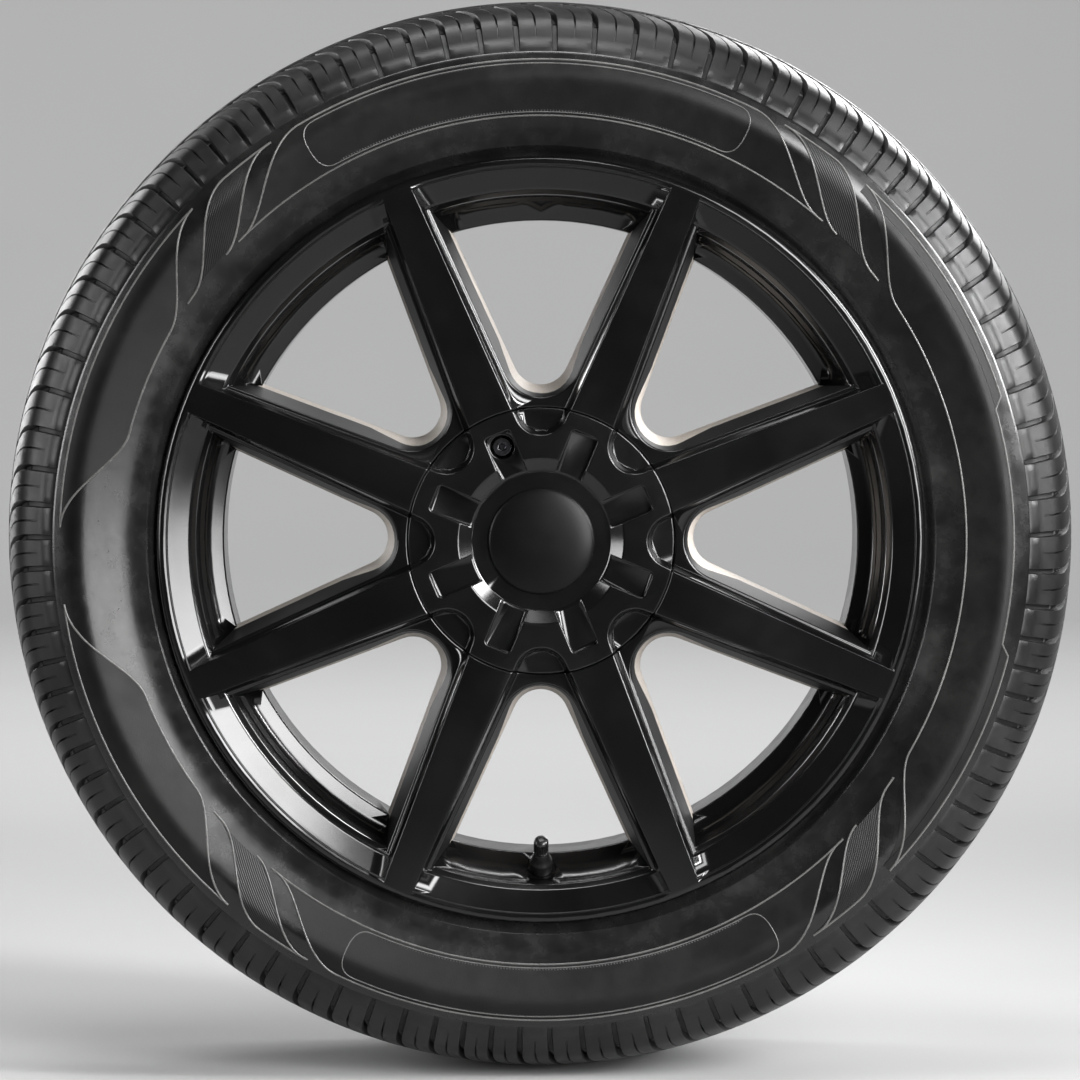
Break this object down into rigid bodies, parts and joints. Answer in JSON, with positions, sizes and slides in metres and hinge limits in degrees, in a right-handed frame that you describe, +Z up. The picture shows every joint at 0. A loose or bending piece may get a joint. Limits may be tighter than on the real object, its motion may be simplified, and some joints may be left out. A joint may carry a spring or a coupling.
{
  "type": "car wheel with tyre",
  "caption": "Straight-spoked cast car wheel with a mounted low-profile road tyre, a round hub cover with a domed centre cap, and a rubber snap-in valve with a screw cap.",
  "frame": {"origin": "centre of the wheel: on the axle line, midway across the tyre", "axes": "+Y along the axle towards the car, so the outer face looks along -Y; +Z up, with the valve at the bottom; +X to the right as seen from outside"},
  "size_m": [0.741, 0.235, 0.7409],
  "materials": {
    "tyre_rubber": "matt moulded rubber with a soft sheen",
    "wheel_paint": "satin black paint on cast aluminium",
    "cover_plastic": "satin black",
    "cap_plastic": "satin black",
    "screw_steel": "dark bright plating",
    "valve_rubber": "moulded black rubber",
    "valve_brass": "turned",
    "valve_cap_plastic": "black"
  },
  "bodies": {
    "wheel": {"tyre": "tyre_rubber", "alloy_wheel": "wheel_paint", "hub_cover": "cover_plastic", "centre_cap": "cap_plastic", "cover_screw": "screw_steel", "valve_body": "valve_rubber", "valve_stem": "valve_brass", "valve_core": "valve_brass"},
    "core_pin": {"valve_pin": "valve_brass"},
    "cap_thread": {"valve_cap_seal": "valve_rubber"},
    "cap": {"valve_cap": "valve_cap_plastic"}
  },
  "joints": [
    {"name": "core_press", "type": "slide", "parent": "wheel", "child": "core_pin", "axis": [0, 0.7071, -0.7071], "range_m": [0, 0.0012], "stiffness_N_per_m": 800, "springref_m": -0.001},
    {"name": "cap_lift", "type": "slide", "parent": "wheel", "child": "cap_thread", "axis": [0, -0.7071, 0.7071], "range_m": [0, 0.00635]},
    {"name": "cap_turn", "type": "hinge", "parent": "cap_thread", "child": "cap", "pos_m": [0, -0.06619, -0.23006], "axis": [0, -0.7071, 0.7071], "range_deg": [0, 2880]}
  ],
  "couplings": [
    {"joint": "cap_turn", "follows": "cap_lift", "rad_per_m": 7913.3}
  ]
}
